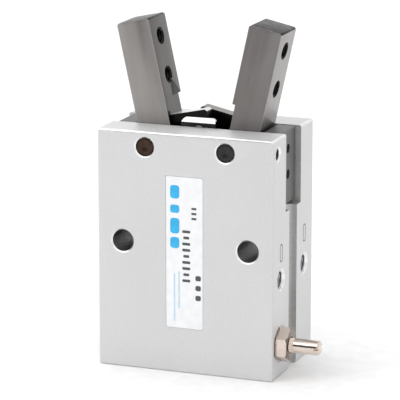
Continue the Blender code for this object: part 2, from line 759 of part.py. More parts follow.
def make_throttle():
    """The needle with its slotted end, its seal ring and its lock nut, all along X."""
    groove_half = 0.0007
    groove = (NEEDLE_SEAL_X + groove_half, NEEDLE_SEAL_X - groove_half, NEEDLE_SEAL_RADIUS)
    tip_radius = 0.00035
    cone_radius = 0.0008
    cone_x = NEEDLE_SHOULDER_X - (NEEDLE_RADIUS - cone_radius)
    needle = turned("needle_valve", [
        (0, NEEDLE_END_X), (NEEDLE_RADIUS - GAP, NEEDLE_END_X), (NEEDLE_RADIUS, NEEDLE_END_X - GAP),
        *grooved_side(NEEDLE_RADIUS, (groove,)),
        (NEEDLE_RADIUS, NEEDLE_SHOULDER_X), (cone_radius, cone_x), (tip_radius, NEEDLE_TIP_X),
        (0, NEEDLE_TIP_X),
    ], champagne_nickel, steps=SMALL_ROUND)
    slot_half = 0.00028
    slot = box("cut_needle_slot", (-slot_half, -NEEDLE_RADIUS - OVERCUT, NEEDLE_END_X - OVERCUT),
               (slot_half, NEEDLE_RADIUS + OVERCUT, NEEDLE_END_X + OVERCUT))
    cut(needle, slot)
    wire = NEEDLE_SEAL_WIRE
    section = ring_section(NEEDLE_SEAL_RADIUS + FINE_GAP + wire, wire, NEEDLE_SEAL_X)
    ring = turned("needle_oring", section, nitrile_rubber, closed=True, steps=SMALL_ROUND)
    axis = bpy.data.objects.new("needle_axis", None)
    PARTS.objects.link(axis)
    for piece in (needle, slot, ring):
        fix_to(piece, axis)
    axis.location = (0, NEEDLE_Y, NEEDLE_Z)
    axis.rotation_euler = (0, math.pi / 2, 0)
    on_its_seat = Matrix.Translation((BODY_SIDE_X - NUT_SEAT_DEPTH / 2, NEEDLE_Y, NEEDLE_Z))
    flats_front = Matrix.Rotation(math.pi / 2, 4, "Y") @ Matrix.Rotation(math.pi / 2, 4, "Z")
    hex_nut("needle_lock_nut", NUT_ACROSS_FLATS, NEEDLE_RADIUS + FINE_GAP, NUT_THICKNESS,
            champagne_nickel, on_its_seat @ flats_front)


# ---- the gripper --------------------------------------------------------------------------------

clear_scene()
PARTS = new_collection("angular_gripper")
CUTTERS = new_collection("cutters")

make_body()
make_label()
make_side_covers()
make_pivot_pins()
make_finger("finger_right", 0)
make_finger("finger_left", math.pi)
make_crosshead()
make_piston_rod()
make_piston()
make_rod_guide()
make_bumpers()
make_end_cap()
make_retaining_ring()
make_passage_plug()
make_throttle()
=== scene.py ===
"""The looks of a two-finger angular air gripper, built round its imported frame.

The housing, fingers, crosshead, shafts, throttle, label and cylinder end are remade with fine edges
and threads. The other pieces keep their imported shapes. Lengths are metres.
"""

import json
import math

import bmesh
import bpy
import numpy as np
from mathutils import Matrix, Vector


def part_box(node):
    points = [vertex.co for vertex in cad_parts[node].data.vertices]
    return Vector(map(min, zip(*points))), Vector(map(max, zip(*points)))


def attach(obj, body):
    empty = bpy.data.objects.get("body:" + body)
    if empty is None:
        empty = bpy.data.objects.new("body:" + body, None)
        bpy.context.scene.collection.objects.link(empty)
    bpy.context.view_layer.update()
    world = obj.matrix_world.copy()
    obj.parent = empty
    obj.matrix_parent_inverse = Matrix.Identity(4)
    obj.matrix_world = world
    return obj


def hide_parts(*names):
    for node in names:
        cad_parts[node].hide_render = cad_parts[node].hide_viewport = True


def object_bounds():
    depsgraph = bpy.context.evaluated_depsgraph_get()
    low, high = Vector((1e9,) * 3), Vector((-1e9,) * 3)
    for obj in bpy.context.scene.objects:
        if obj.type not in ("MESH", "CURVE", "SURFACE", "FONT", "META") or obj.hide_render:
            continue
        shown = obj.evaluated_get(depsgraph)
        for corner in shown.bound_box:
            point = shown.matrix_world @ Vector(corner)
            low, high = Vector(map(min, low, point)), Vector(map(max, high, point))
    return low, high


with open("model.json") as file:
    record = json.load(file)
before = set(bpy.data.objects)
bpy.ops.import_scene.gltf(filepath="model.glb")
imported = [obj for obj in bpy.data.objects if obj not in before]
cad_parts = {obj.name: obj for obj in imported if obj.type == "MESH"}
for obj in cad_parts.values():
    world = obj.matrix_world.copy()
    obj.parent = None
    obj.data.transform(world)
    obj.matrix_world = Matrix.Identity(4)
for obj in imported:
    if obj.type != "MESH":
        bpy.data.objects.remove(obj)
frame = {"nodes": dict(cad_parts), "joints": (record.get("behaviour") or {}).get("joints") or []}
cad_low, cad_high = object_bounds()

NODES = frame["nodes"]
JOINTS = {joint["name"]: joint for joint in frame["joints"]}
MM = 0.001
FINE = 72
MEDIUM = 48
SHARP = math.radians(32)
OVERCUT = 1 * MM
WELD = 0.01 * MM

COVER_SIDE_ROOM = 0.2 * MM
COVER_ABOVE_FLOOR = 0.8 * MM
CAP_ROOM = 0.2 * MM

# ---- places that come from the frame ------------------------------------------------------------

BODY_LOW, BODY_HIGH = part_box("body")
FRONT_Y = BODY_LOW.y
SIDE_X = BODY_HIGH.x
BODY_TOP = BODY_HIGH.z
COVER_LOW, COVER_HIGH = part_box("side_cover_right")
SLOT_HALF = COVER_HIGH.y + COVER_SIDE_ROOM
SLOT_FLOOR = COVER_LOW.z - COVER_ABOVE_FLOOR
PIVOT = Vector(JOINTS["finger_right_swing"]["pos_m"])
NEEDLE_LOW, NEEDLE_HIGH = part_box("needle_valve")
NEEDLE_MIDDLE = (NEEDLE_LOW + NEEDLE_HIGH) / 2
NEEDLE_RADIUS = (NEEDLE_HIGH.y - NEEDLE_LOW.y) / 2
PIN_LOW, PIN_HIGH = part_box("pivot_pin_right")
PIN_RADIUS = (PIN_HIGH.z - PIN_LOW.z) / 2
LOCK_LOW, LOCK_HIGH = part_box("pin_lock_screw_right")
LABEL_LOW, LABEL_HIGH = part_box("label_plate")
NUT_LOW, NUT_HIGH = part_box("needle_lock_nut")
YOKE_LOW, YOKE_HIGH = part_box("crosshead")
CROSS_PIN_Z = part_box("crosshead_pin")[0].z + PIN_RADIUS
PLUG_LOW, PLUG_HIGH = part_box("passage_plug")
CAP_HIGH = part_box("end_cap")[1]
RING_LOW, RING_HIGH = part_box("retaining_ring")
BORE_RADIUS = CAP_HIGH.x + CAP_ROOM

# ---- sizes of the levers ------------------------------------------------------------------------

OPEN_ANGLE = math.radians(12.4)
FINGER_INNER = -3.5 * MM
FINGER_OUTER = 4.3 * MM
FINGER_TOP = 27.5 * MM
FINGER_HALF = 5.0 * MM
FINGER_HOLES = (13.8 * MM, 22.8 * MM)
FINGER_THREAD_RADIUS = 1.85 * MM
FINGER_THREAD_DEPTH = 0.3 * MM
FINGER_THREAD_PITCH = 0.7 * MM
FINGER_FLARE = 0.2 * MM
LEVER_EDGE = 0.4 * MM
ARM_TIP = -12.3 * MM
ARM_TOP = 5.0 * MM
ARM_BOTTOM = -4.3 * MM
ARM_SIDE = 3.3 * MM
ARM_GAP = 0.15 * MM
FORK_SLOT = 4.25 * MM
FORK_ROOT = -7.5 * MM
RELIEF_TOP = 8.9 * MM
RELIEF_DEPTH = 0.7 * MM

# ---- sizes of the housing's hollows -------------------------------------------------------------

BODY_EDGE = 0.45 * MM
HOLE_FLARE = 0.3 * MM
MOUNT_HOLE_X = 15 * MM
MOUNT_HOLE_Z = 29.6 * MM
MOUNT_HOLE_RADIUS = 2.5 * MM
PORT_Y = 8 * MM
PORT_Z = 22.4 * MM
PORT_RADIUS = 2.25 * MM
PORT_THREAD_DEPTH = 0.35 * MM
PORT_DEEP = 7 * MM
BASE_THREAD_RADIUS = 2.1 * MM
BASE_THREAD_DEPTH = 0.3 * MM
BASE_THREAD_DEEP = 10 * MM
HOUSING_PITCH = 0.8 * MM
PLUG_SEAT_RADIUS = 1.4 * MM
PLUG_SEAT_DEEP = 3.8 * MM
GROOVE_HALF = 2.7 * MM
GROOVE_DEPTH = 3.3 * MM
LABEL_RECESS = 0.2 * MM
LABEL_ROOM = 0.15 * MM
NUT_SEAT_RADIUS = 4.3 * MM
NUT_SEAT_DEPTH = 0.15 * MM
THROTTLE_START_X = 11.0 * MM
THROTTLE_ROOM = 0.3 * MM
BORE_TOP = 31.0 * MM
SEAL_POCKET_RADIUS = 6.5 * MM
SEAL_POCKET_TOP = 34.6 * MM
BUSH_HOLE_RADIUS = 5.4 * MM
RING_GROOVE_RADIUS = 10.9 * MM
RING_ROOM = 0.1 * MM

# ---- sizes of the small pieces ------------------------------------------------------------------

SHAFT_RIM = 0.25 * MM
SHAFT_CENTRE_RADIUS = 0.45 * MM
SHAFT_CENTRE_DEPTH = 0.25 * MM
YOKE_CORNER = 1.2 * MM
YOKE_EDGE = 0.2 * MM
YOKE_FLOOR_BELOW_PIN = 6.2 * MM
SPIGOT_HOLE_RADIUS = 2.35 * MM
SPIGOT_HOLE_DEEP = 2 * MM
NEEDLE_PITCH = 0.5 * MM
NEEDLE_THREAD_DEPTH = 0.26 * MM
NEEDLE_GROOVE = (7.3 * MM, 8.7 * MM)
NEEDLE_GROOVE_RADIUS = 1.1 * MM
CAP_GROOVE_RADIUS = 8.1 * MM
CAP_SEAL_GROOVE = (3.2 * MM, 5.1 * MM)
CAP_STEP = 1.7 * MM
CAP_BOSS_RADIUS = 7.0 * MM

# ---- light --------------------------------------------------------------------------------------

BRIGHT_SIDE = (-0.75, -0.35, 0.55)
DARK_GAP = (-0.35, -0.91, 0.23)
TENT_DIM = 0.70
TENT_BRIGHT = 1.48
KEY_POWER = 1.2


# ---- materials ----------------------------------------------------------------------------------

def new_material(name, metallic, roughness):
    made = bpy.data.materials.new(name)
    made.use_nodes = True
    shader = made.node_tree.nodes["Principled BSDF"]
    shader.inputs["Metallic"].default_value = metallic
    shader.inputs["Roughness"].default_value = roughness
    return made, made.node_tree.nodes, made.node_tree.links, shader


def noise(nodes, links, source, scale, detail=4.0, stretch=(1, 1, 1), lean=0.0):
    """Noise in the piece's own coordinates, stretched along a grain that may lean about Y."""
    turned_place = nodes.new("ShaderNodeMapping")
    turned_place.inputs["Rotation"].default_value = (0, lean, 0)
    mapping = nodes.new("ShaderNodeMapping")
    mapping.inputs["Scale"].default_value = stretch
    texture = nodes.new("ShaderNodeTexNoise")
    texture.inputs["Scale"].default_value = scale
    texture.inputs["Detail"].default_value = detail
    links.new(source, turned_place.inputs["Vector"])
    links.new(turned_place.outputs["Vector"], mapping.inputs["Vector"])
    links.new(mapping.outputs["Vector"], texture.inputs["Vector"])
    return texture.outputs["Fac"]


def ranged(nodes, links, value, low, high, from_low=0.3, from_high=0.7):
    """The value spread to a new range."""
    spread = nodes.new("ShaderNodeMapRange")
    spread.inputs["From Min"].default_value = from_low
    spread.inputs["From Max"].default_value = from_high
    spread.inputs["To Min"].default_value = low
    spread.inputs["To Max"].default_value = high
    links.new(value, spread.inputs["Value"])
    return spread.outputs["Result"]


def mixed(nodes, links, factor, first, second):
    """A colour between two, each a colour or a socket."""
    mix = nodes.new("ShaderNodeMix")
    mix.data_type = "RGBA"
    links.new(factor, mix.inputs["Factor"])
    for socket, colour in ((mix.inputs["A"], first), (mix.inputs["B"], second)):
        if isinstance(colour, tuple):
            socket.default_value = (*colour, 1.0)
        else:
            links.new(colour, socket)
    return mix.outputs["Result"]


def edge_mask(nodes, links, reach):
    """1 along the edges and 0 on the flats, from how far the rounded normal leaves the true one. The
    edges carry wear and a painted highlight.
    """
    flat = 0.995
    worn = 0.80
    rounded = nodes.new("ShaderNodeBevel")
    rounded.samples = 4
    rounded.inputs["Radius"].default_value = reach
    true_normal = nodes.new("ShaderNodeNewGeometry")
    dot = nodes.new("ShaderNodeVectorMath")
    dot.operation = "DOT_PRODUCT"
    links.new(rounded.outputs["Normal"], dot.inputs[0])
    links.new(true_normal.outputs["Normal"], dot.inputs[1])
    return ranged(nodes, links, dot.outputs["Value"], 1.0, 0.0, worn, flat)


def surface(name, dark, light, roughness, metallic=1.0, grain=900.0, stretch=(1, 1, 1), bump=0.08,
            blotch=90.0, spread=0.08, edge=None, coat=0.0, lean=0.0):
    """A finish with a fine grain, slow blotches of tone, uneven gloss and, where asked, lighter edges
    that are partly wear and partly a painted highlight.
    """
    grain_share = 0.4
    wear_and_highlight_reach = 0.25 * MM
    relief_height = 0.02 * MM
    made, nodes, links, shader = new_material(name, metallic, roughness)
    place = nodes.new("ShaderNodeTexCoord").outputs["Object"]
    slow = noise(nodes, links, place, blotch, 3.0)
    fine = noise(nodes, links, place, grain, 5.0, stretch, lean)
    colour = mixed(nodes, links, ranged(nodes, links, slow, 0.0, 1.0), dark, light)
    grain_tone = mixed(nodes, links, ranged(nodes, links, fine, 0.0, 1.0),
                       tuple(0.90 * c for c in dark), tuple(min(1.0, 1.04 * c) for c in light))
    tone = nodes.new("ShaderNodeMix")
    tone.data_type = "RGBA"
    tone.inputs["Factor"].default_value = grain_share
    links.new(colour, tone.inputs["A"])
    links.new(grain_tone, tone.inputs["B"])
    colour = tone.outputs["Result"]
    # Edge colour: partly wear, partly a painted highlight along the edges.
    if edge is not None:
        colour = mixed(nodes, links, edge_mask(nodes, links, wear_and_highlight_reach), colour, edge)
    links.new(colour, shader.inputs["Base Color"])
    gloss = ranged(nodes, links, fine, roughness - spread / 2, roughness + spread / 2)
    links.new(gloss, shader.inputs["Roughness"])
    shader.inputs["Coat Weight"].default_value = coat
    relief = nodes.new("ShaderNodeBump")
    relief.inputs["Strength"].default_value = bump
    relief.inputs["Distance"].default_value = relief_height
    links.new(fine, relief.inputs["Height"])
    links.new(relief.outputs["Normal"], shader.inputs["Normal"])
    return made


def anodised():
    """Clear-anodised, fine-blasted aluminium: pale, even and soft in its gloss."""
    # Its lighter edges are partly wear and partly a painted highlight.
    return surface("anodised_aluminium", (0.62, 0.62, 0.625), (0.66, 0.66, 0.665), 0.45, metallic=0.4,
                   grain=2600.0, bump=0.10, blotch=45.0, edge=(0.86, 0.86, 0.865))


def shaded_bore():
    """Bare machined aluminium inside the holes, painted darker as the shade inside them."""
    return surface("machined_aluminium", (0.26, 0.26, 0.265), (0.44, 0.44, 0.45), 0.30, metallic=0.9,
                   grain=700.0, stretch=(1, 1, 6), bump=0.25, blotch=160.0)


def shaded_milled():
    """Anodised aluminium in the slot and grooves, painted greyer as the shade that falls in them."""
    return surface("milled_aluminium", (0.46, 0.455, 0.45), (0.56, 0.555, 0.55), 0.40, metallic=0.6,
                   grain=500.0, stretch=(1, 1, 8), bump=0.2, blotch=120.0)


def painted_highlight_rim():
    """A painted highlight for the chamfers round the holes and along the housing's top edge."""
    return surface("painted_highlight_rim", (0.80, 0.80, 0.80), (0.92, 0.92, 0.92), 0.22, metallic=0.8,
                   grain=900.0, bump=0.05, blotch=200.0)


def lever_finish(name, dark, light, lean=0.0):
    """Ground and nickel-plated steel, its grain running along the finger."""
    # Its lighter edges are partly wear and partly a painted highlight.
    return surface(name, dark, light, 0.36, grain=650.0, stretch=(1, 1, 0.06), bump=0.16, blotch=70.0,
                   spread=0.12, edge=tuple(1.5 * c for c in light), lean=lean)


def lever_finishes(side, flank, outer, arm_top):
    """All of one lever's finishes: lit and shaded copies of one steel, each painted with the light or
    shade that falls on its faces. Each argument is a dark and a light colour.
    """
    tag = "right" if side > 0 else "left"
    lean = -side * OPEN_ANGLE
    return [
        lever_finish("lever_flank_" + tag, *flank, lean),
        lever_finish("lever_outer_" + tag, *outer, lean),
        # Painted shade: the inner face is given a dark tone.
        lever_finish("shaded_lever_inner_" + tag, (0.12, 0.115, 0.11), (0.18, 0.17, 0.165), lean),
        lever_finish("arm_top_" + tag, *arm_top, lean),
        lever_finish("arm_shade_" + tag, (0.010, 0.010, 0.010), (0.022, 0.021, 0.020), lean),
        # Painted light: the finger's upward end is given a light tone.
        lever_finish("lit_lever_end_" + tag, (0.68, 0.66, 0.65), (0.84, 0.82, 0.80), lean),
        # Painted highlight on the edges round the finger's end.
        ground_steel("painted_edge_highlight_" + tag, (0.75, 0.74, 0.73), (0.95, 0.94, 0.93)),
    ]


def cover_finish():
    return surface("cover_steel", (0.13, 0.13, 0.13), (0.17, 0.167, 0.165), 0.46, metallic=0.85,
                   grain=1500.0, bump=0.30, blotch=120.0, edge=(0.30, 0.30, 0.30))


def ground_steel(name="ground_steel", dark=(0.50, 0.49, 0.48), light=(0.64, 0.63, 0.62)):
    return surface(name, dark, light, 0.22, grain=800.0, stretch=(1, 6, 1), bump=0.08, blotch=150.0)


def pin_steel(name, dark, light):
    """The finger shafts, coloured by heat treatment and oil."""
    return surface(name, dark, light, 0.28, grain=900.0, bump=0.12, blotch=240.0,
                   edge=tuple(2.2 * c for c in light))


def black_oxide():
    return surface("black_oxide", (0.02, 0.02, 0.02), (0.05, 0.05, 0.05), 0.38, metallic=0.9,
                   grain=1400.0, bump=0.15, edge=(0.16, 0.16, 0.16))


def nickel_brass():
    return surface("nickel_plated_brass", (0.62, 0.52, 0.46), (0.80, 0.70, 0.63), 0.13, grain=700.0,
                   stretch=(6, 1, 1), bump=0.06, blotch=200.0, spread=0.06, edge=(0.92, 0.86, 0.80))


def rubber(name="nitrile_rubber", dark=(0.012, 0.012, 0.012), light=(0.03, 0.03, 0.03)):
    return surface(name, dark, light, 0.55, metallic=0.0, grain=1100.0, bump=0.15, blotch=130.0)


def urethane():
    return surface("amber_urethane", (0.52, 0.36, 0.12), (0.66, 0.50, 0.22), 0.38, metallic=0.0,
                   grain=600.0, bump=0.08, blotch=100.0, coat=0.2)


def turned_alloy(name, dark, light):
    """Turned aluminium, with fine rings round the axis."""
    return surface(name, dark, light, 0.30, metallic=0.9, grain=500.0, stretch=(1, 1, 10), bump=0.2,
                   blotch=80.0)


def bronze():
    return surface("sintered_bronze", (0.42, 0.27, 0.12), (0.58, 0.40, 0.20), 0.45, grain=1800.0,
                   bump=0.3, blotch=200.0)


def phosphated_spring():
    return surface("phosphated_spring_steel", (0.07, 0.065, 0.06), (0.13, 0.12, 0.115), 0.50,
                   metallic=0.8, grain=1600.0, bump=0.25, edge=(0.24, 0.23, 0.22))


def label_film():
    return surface("label_film", (0.80, 0.81, 0.825), (0.85, 0.86, 0.87), 0.34, metallic=0.05,
                   grain=500.0, bump=0.03, blotch=60.0, coat=0.3)


def ink(name, colour):
    pale = tuple(min(1.0, 1.25 * c + 0.01) for c in colour)
    return surface(name, colour, pale, 0.42, metallic=0.0, grain=1500.0, bump=0.05, blotch=300.0)


# ---- shape tools --------------------------------------------------------------------------------

def put(name, mesh, place=(0, 0, 0)):
    made = bpy.data.objects.new(name, mesh)
    made.location = place
    bpy.context.scene.collection.objects.link(made)
    return made


def from_bmesh(name, shape, place=(0, 0, 0)):
    mesh = bpy.data.meshes.new(name)
    shape.to_mesh(mesh)
    shape.free()
    return put(name, mesh, place)


def box(name, low, high):
    low = Vector(low)
    high = Vector(high)
    shape = bmesh.new()
    bmesh.ops.create_cube(shape, size=1.0)
    bmesh.ops.scale(shape, vec=high - low, verts=shape.verts)
    return from_bmesh(name, shape, (low + high) / 2)


def bar(name, radius, start, end, sides=MEDIUM, end_radius=None):
    """A round bar between two points, or a cone where its end has another radius."""
    start = Vector(start)
    end = Vector(end)
    shape = bmesh.new()
    bmesh.ops.create_cone(shape, cap_ends=True, segments=sides, radius1=radius,
                          radius2=radius if end_radius is None else end_radius,
                          depth=(end - start).length)
    made = from_bmesh(name, shape, (start + end) / 2)
    made.rotation_euler = (end - start).to_track_quat("Z", "Y").to_euler()
    return made


def turned(name, profile, sides=FINE):
    """A body turned about Z from (radius, height) points, listed down its outer side."""
    mesh = bpy.data.meshes.new(name)
    edges = [(i, i + 1) for i in range(len(profile) - 1)]
    mesh.from_pydata([(radius, 0, height) for radius, height in profile], edges, [])
    made = put(name, mesh)
    screw = made.modifiers.new("Turn", "SCREW")
    screw.axis = "Z"
    screw.steps = sides
    screw.render_steps = sides
    screw.use_merge_vertices = True
    screw.merge_threshold = WELD
    return made


def threaded(name, radius, depth, pitch, start, end):
    """A bar with a helical thread cut into it: every point's radius follows its place on the helix."""
    sides = MEDIUM
    rows_a_turn = 6
    crest_width = 1.3
    start = Vector(start)
    end = Vector(end)
    length = (end - start).length
    rows = max(2, round(length / pitch * rows_a_turn))
    heights = np.linspace(-length / 2, length / 2, rows + 1)
    angles = np.arange(sides) * 2 * math.pi / sides
    phase = (heights[:, None] / pitch - angles[None, :] / (2 * math.pi)) % 1.0
    ridge = 1 - np.abs(2 * phase - 1)
    radii = radius - depth * (1 - np.clip(ridge * crest_width, 0, 1))
    across = radii * np.cos(angles)
    along = radii * np.sin(angles)
    points = np.stack([across, along, np.repeat(heights[:, None], sides, 1)], -1).reshape(-1, 3)
    faces = []
    for row in range(rows):
        for i in range(sides):
            a = row * sides + i
            b = row * sides + (i + 1) % sides
            faces.append((a, b, b + sides, a + sides))
    faces.append(tuple(reversed(range(sides))))
    faces.append(tuple(rows * sides + i for i in range(sides)))
    mesh = bpy.data.meshes.new(name)
    mesh.from_pydata(points.tolist(), [], faces)
    made = put(name, mesh, (start + end) / 2)
    made.rotation_euler = (end - start).to_track_quat("Z", "Y").to_euler()
    return made


def plate(name, outline, half_depth, upright=True):
    """A flat outline with a thickness. Upright, it stands in the XZ plane."""
    curve = bpy.data.curves.new(name, "CURVE")
    curve.dimensions = "2D"
    curve.fill_mode = "BOTH"
    curve.extrude = half_depth
    line = curve.splines.new("POLY")
    line.points.add(len(outline) - 1)
    for point, (across, along) in zip(line.points, outline):
        point.co = (across, along, 0, 1)
    line.use_cyclic_u = True
    source = put(name + "_outline", curve)
    graph = bpy.context.evaluated_depsgraph_get()
    mesh = bpy.data.meshes.new_from_object(source.evaluated_get(graph))
    bpy.data.objects.remove(source, do_unlink=True)
    shape = bmesh.new()
    shape.from_mesh(mesh)
    bmesh.ops.remove_doubles(shape, verts=shape.verts, dist=WELD)
    if upright:
        bmesh.ops.rotate(shape, matrix=Matrix.Rotation(math.pi / 2, 3, "X"), verts=shape.verts)
    bmesh.ops.recalc_face_normals(shape, faces=shape.faces)
    return from_bmesh(name, shape)


def arc(centre, radius, start, end, count):
    """Points along an arc, with angles in degrees."""
    angles = np.radians(np.linspace(start, end, count))
    return [(centre[0] + radius * math.cos(a), centre[1] + radius * math.sin(a)) for a in angles]


def boolean(target, others, operation="DIFFERENCE"):
    for other in others:
        modifier = target.modifiers.new(other.name, "BOOLEAN")
        modifier.operation = operation
        modifier.solver = "EXACT"
        modifier.object = other


def bevel(made, width, segments=3, angle=SHARP):
    modifier = made.modifiers.new("Edges", "BEVEL")
    modifier.width = width
    modifier.segments = segments
    modifier.limit_method = "ANGLE"
    modifier.angle_limit = angle
    modifier.use_clamp_overlap = True


def settle(made, cutters=(), sharp=SHARP):
    """Applies the modifiers, drops the cutters, and shades the piece smooth up to its sharp edges."""
    graph = bpy.context.evaluated_depsgraph_get()
    mesh = bpy.data.meshes.new_from_object(made.evaluated_get(graph))
    made.modifiers.clear()
    made.data = mesh
    for cutter in cutters:
        bpy.data.objects.remove(cutter, do_unlink=True)
    mesh.shade_smooth()
    mesh.set_sharp_from_angle(angle=sharp)
    return made


def dress(made, *finishes):
    """Gives a piece its materials, in place of whatever it had."""
    made.data.materials.clear()
    for finish in finishes:
        made.data.materials.append(finish)


def stand_for(made, body, slot, *nodes):
    """The piece rides on a body and replaces CAD nodes. Its slot argument is not used."""
    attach(made, body)
    if nodes:
        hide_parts(*nodes)


def paint(made, index, test):
    """Gives another of the piece's materials to the faces whose middle and normal pass a test."""
    for face in made.data.polygons:
        if test(face.center, face.normal):
            face.material_index = index


# ---- housing ------------------------------------------------------------------------------------

def mouth(name, radius, at, outwards, flare=HOLE_FLARE):
    """A short cone that breaks the edge of a hole."""
    at = Vector(at)
    outwards = Vector(outwards)
    proud = 0.05 * MM
    return bar(name, radius - proud, at - outwards * (flare + proud), at + outwards * proud, FINE,
               end_radius=radius + flare + proud)


def drilled(name, radius, start, end, flare, both_ends=True):
    """A hole from one face to another, its ends broken at 45 degrees, in one turned cutter."""
    start = Vector(start)
    end = Vector(end)
    length = (end - start).length
    wide = radius + flare + OVERCUT
    profile = [(0, length + OVERCUT), (wide, length + OVERCUT), (radius, length - flare)]
    if both_ends:
        profile += [(radius, flare), (wide, -OVERCUT), (0, -OVERCUT)]
    else:
        profile += [(radius, 0), (0, 0)]
    made = settle(turned(name, profile))
    made.location = start
    made.rotation_euler = (end - start).to_track_quat("Z", "Y").to_euler()
    return made


def fixing_cutters(side):
    """On one side: the through hole, the shaft's hole, the base thread and the lock screw's hole."""
    x = side * MOUNT_HOLE_X
    pin_x = side * PIVOT.x
    back = -FRONT_Y
    shaft_radius = PIN_RADIUS + 0.15 * MM
    lock_y = (LOCK_LOW.y + LOCK_HIGH.y) / 2
    lock_radius = (LOCK_HIGH.y - LOCK_LOW.y) / 2 + 0.05 * MM
    lock_flare = 0.4 * MM
    return [
        drilled("through", MOUNT_HOLE_RADIUS, (x, FRONT_Y, MOUNT_HOLE_Z), (x, back, MOUNT_HOLE_Z),
                HOLE_FLARE),
        drilled("shaft", shaft_radius, (pin_x, FRONT_Y, PIVOT.z), (pin_x, back, PIVOT.z), HOLE_FLARE),
        drilled("lock", lock_radius, (pin_x, lock_y, PIVOT.z), (side * SIDE_X, lock_y, PIVOT.z),
                lock_flare, both_ends=False),
        threaded("base_thread", BASE_THREAD_RADIUS, BASE_THREAD_DEPTH, HOUSING_PITCH,
                 (x, 0, -OVERCUT), (x, 0, BASE_THREAD_DEEP)),
        mouth("base_mouth", BASE_THREAD_RADIUS, (x, 0, 0), (0, 0, -1)),
    ]


def air_cutters():
    """The two threaded ports, the throttle's hole and the mouth of the plugged passage."""
    outside = SIDE_X + OVERCUT
    cutters = []
    for y in (-PORT_Y, PORT_Y):
        cutters.append(threaded("port", PORT_RADIUS, PORT_THREAD_DEPTH, HOUSING_PITCH,
                                (SIDE_X - PORT_DEEP, y, PORT_Z), (outside, y, PORT_Z)))
        cutters.append(mouth("port_mouth", PORT_RADIUS, (SIDE_X, y, PORT_Z), (1, 0, 0)))
    needle_y = NEEDLE_MIDDLE.y
    needle_z = NEEDLE_MIDDLE.z
    cutters.append(bar("throttle", NEEDLE_RADIUS + THROTTLE_ROOM,
                       (THROTTLE_START_X, needle_y, needle_z), (outside, needle_y, needle_z)))
    cutters.append(bar("nut_seat", NUT_SEAT_RADIUS, (SIDE_X - NUT_SEAT_DEPTH, needle_y, needle_z),
                       (outside, needle_y, needle_z), FINE))
    plug = (PLUG_LOW + PLUG_HIGH) / 2
    cutters.append(bar("plug_seat", PLUG_SEAT_RADIUS, (plug.x, plug.y, -OVERCUT),
                       (plug.x, plug.y, PLUG_SEAT_DEEP)))
    return cutters


def groove_cutter(side):
    """A round-bottomed groove up the side face."""
    middle = SIDE_X - GROOVE_DEPTH + GROOVE_HALF
    edge = SIDE_X + OVERCUT
    floor = arc((middle, 0), GROOVE_HALF, 90, 270, 25)
    outline = [(side * x, side * y) for x, y in [(edge, GROOVE_HALF), *floor, (edge, -GROOVE_HALF)]]
    groove = plate("groove", outline, SLOT_FLOOR / 2 + OVERCUT, upright=False)
    groove.location.z = SLOT_FLOOR / 2
    return groove


def cylinder_cutter():
    """The turned hollow from the rod's guide down through the bore and the retaining ring's groove."""
    top = SLOT_FLOOR + OVERCUT
    flare = 0.25 * MM
    groove_low = RING_LOW.z - RING_ROOM
    groove_high = RING_HIGH.z + RING_ROOM
    return turned("cylinder", [
        (0, top), (BUSH_HOLE_RADIUS, top), (BUSH_HOLE_RADIUS, SEAL_POCKET_TOP),
        (SEAL_POCKET_RADIUS, SEAL_POCKET_TOP), (SEAL_POCKET_RADIUS, BORE_TOP),
        (BORE_RADIUS, BORE_TOP), (BORE_RADIUS, groove_high),
        (RING_GROOVE_RADIUS, groove_high), (RING_GROOVE_RADIUS, groove_low), (BORE_RADIUS, groove_low),
        (BORE_RADIUS, flare), (BORE_RADIUS + flare + OVERCUT, -OVERCUT), (0, -OVERCUT),
    ])


def in_slot(middle, normal):
    slack = 0.05 * MM
    return middle.z > SLOT_FLOOR - slack and abs(middle.y) < SLOT_HALF + slack


def in_groove(middle, normal):
    """The groove's floor and flanks, up to the slot."""
    deep = SIDE_X - GROOVE_DEPTH - 0.1 * MM
    half = GROOVE_HALF + 0.01 * MM
    return deep < abs(middle.x) and abs(middle.y) < half and middle.z < SLOT_FLOOR


def in_hole(middle, normal):
    """Anything deeper than the outside's rounded edges that is neither slot nor groove."""
    skin = BODY_EDGE + 0.1 * MM
    inside = (abs(middle.x) < SIDE_X - skin and abs(middle.y) < -FRONT_Y - skin
              and skin < middle.z < BODY_TOP - skin)
    return inside and not in_slot(middle, normal)


def on_mouth(middle, normal):
    """The broken edges of the holes, which get a painted highlight: slanted faces well inside a flat of
    the housing.
    """
    edge = 1.5 * MM
    top_edge = 1.2 * MM
    least_slant = 0.35
    most_slant = 0.95
    if not edge < middle.z < BODY_TOP - top_edge:
        return False
    on_front = abs(middle.y) > -FRONT_Y - BODY_EDGE and abs(middle.x) < SIDE_X - edge
    on_side = abs(middle.x) > SIDE_X - BODY_EDGE and abs(middle.y) < -FRONT_Y - edge
    return ((on_front and least_slant < abs(normal.y) < most_slant)
            or (on_side and least_slant < abs(normal.x) < most_slant))


# The housing's rounded top edge, which gets a painted highlight.
def on_top_edge(middle, normal):
    least_rise = 0.15
    most_rise = 0.97
    return middle.z > BODY_TOP - BODY_EDGE and least_rise < normal.z < most_rise


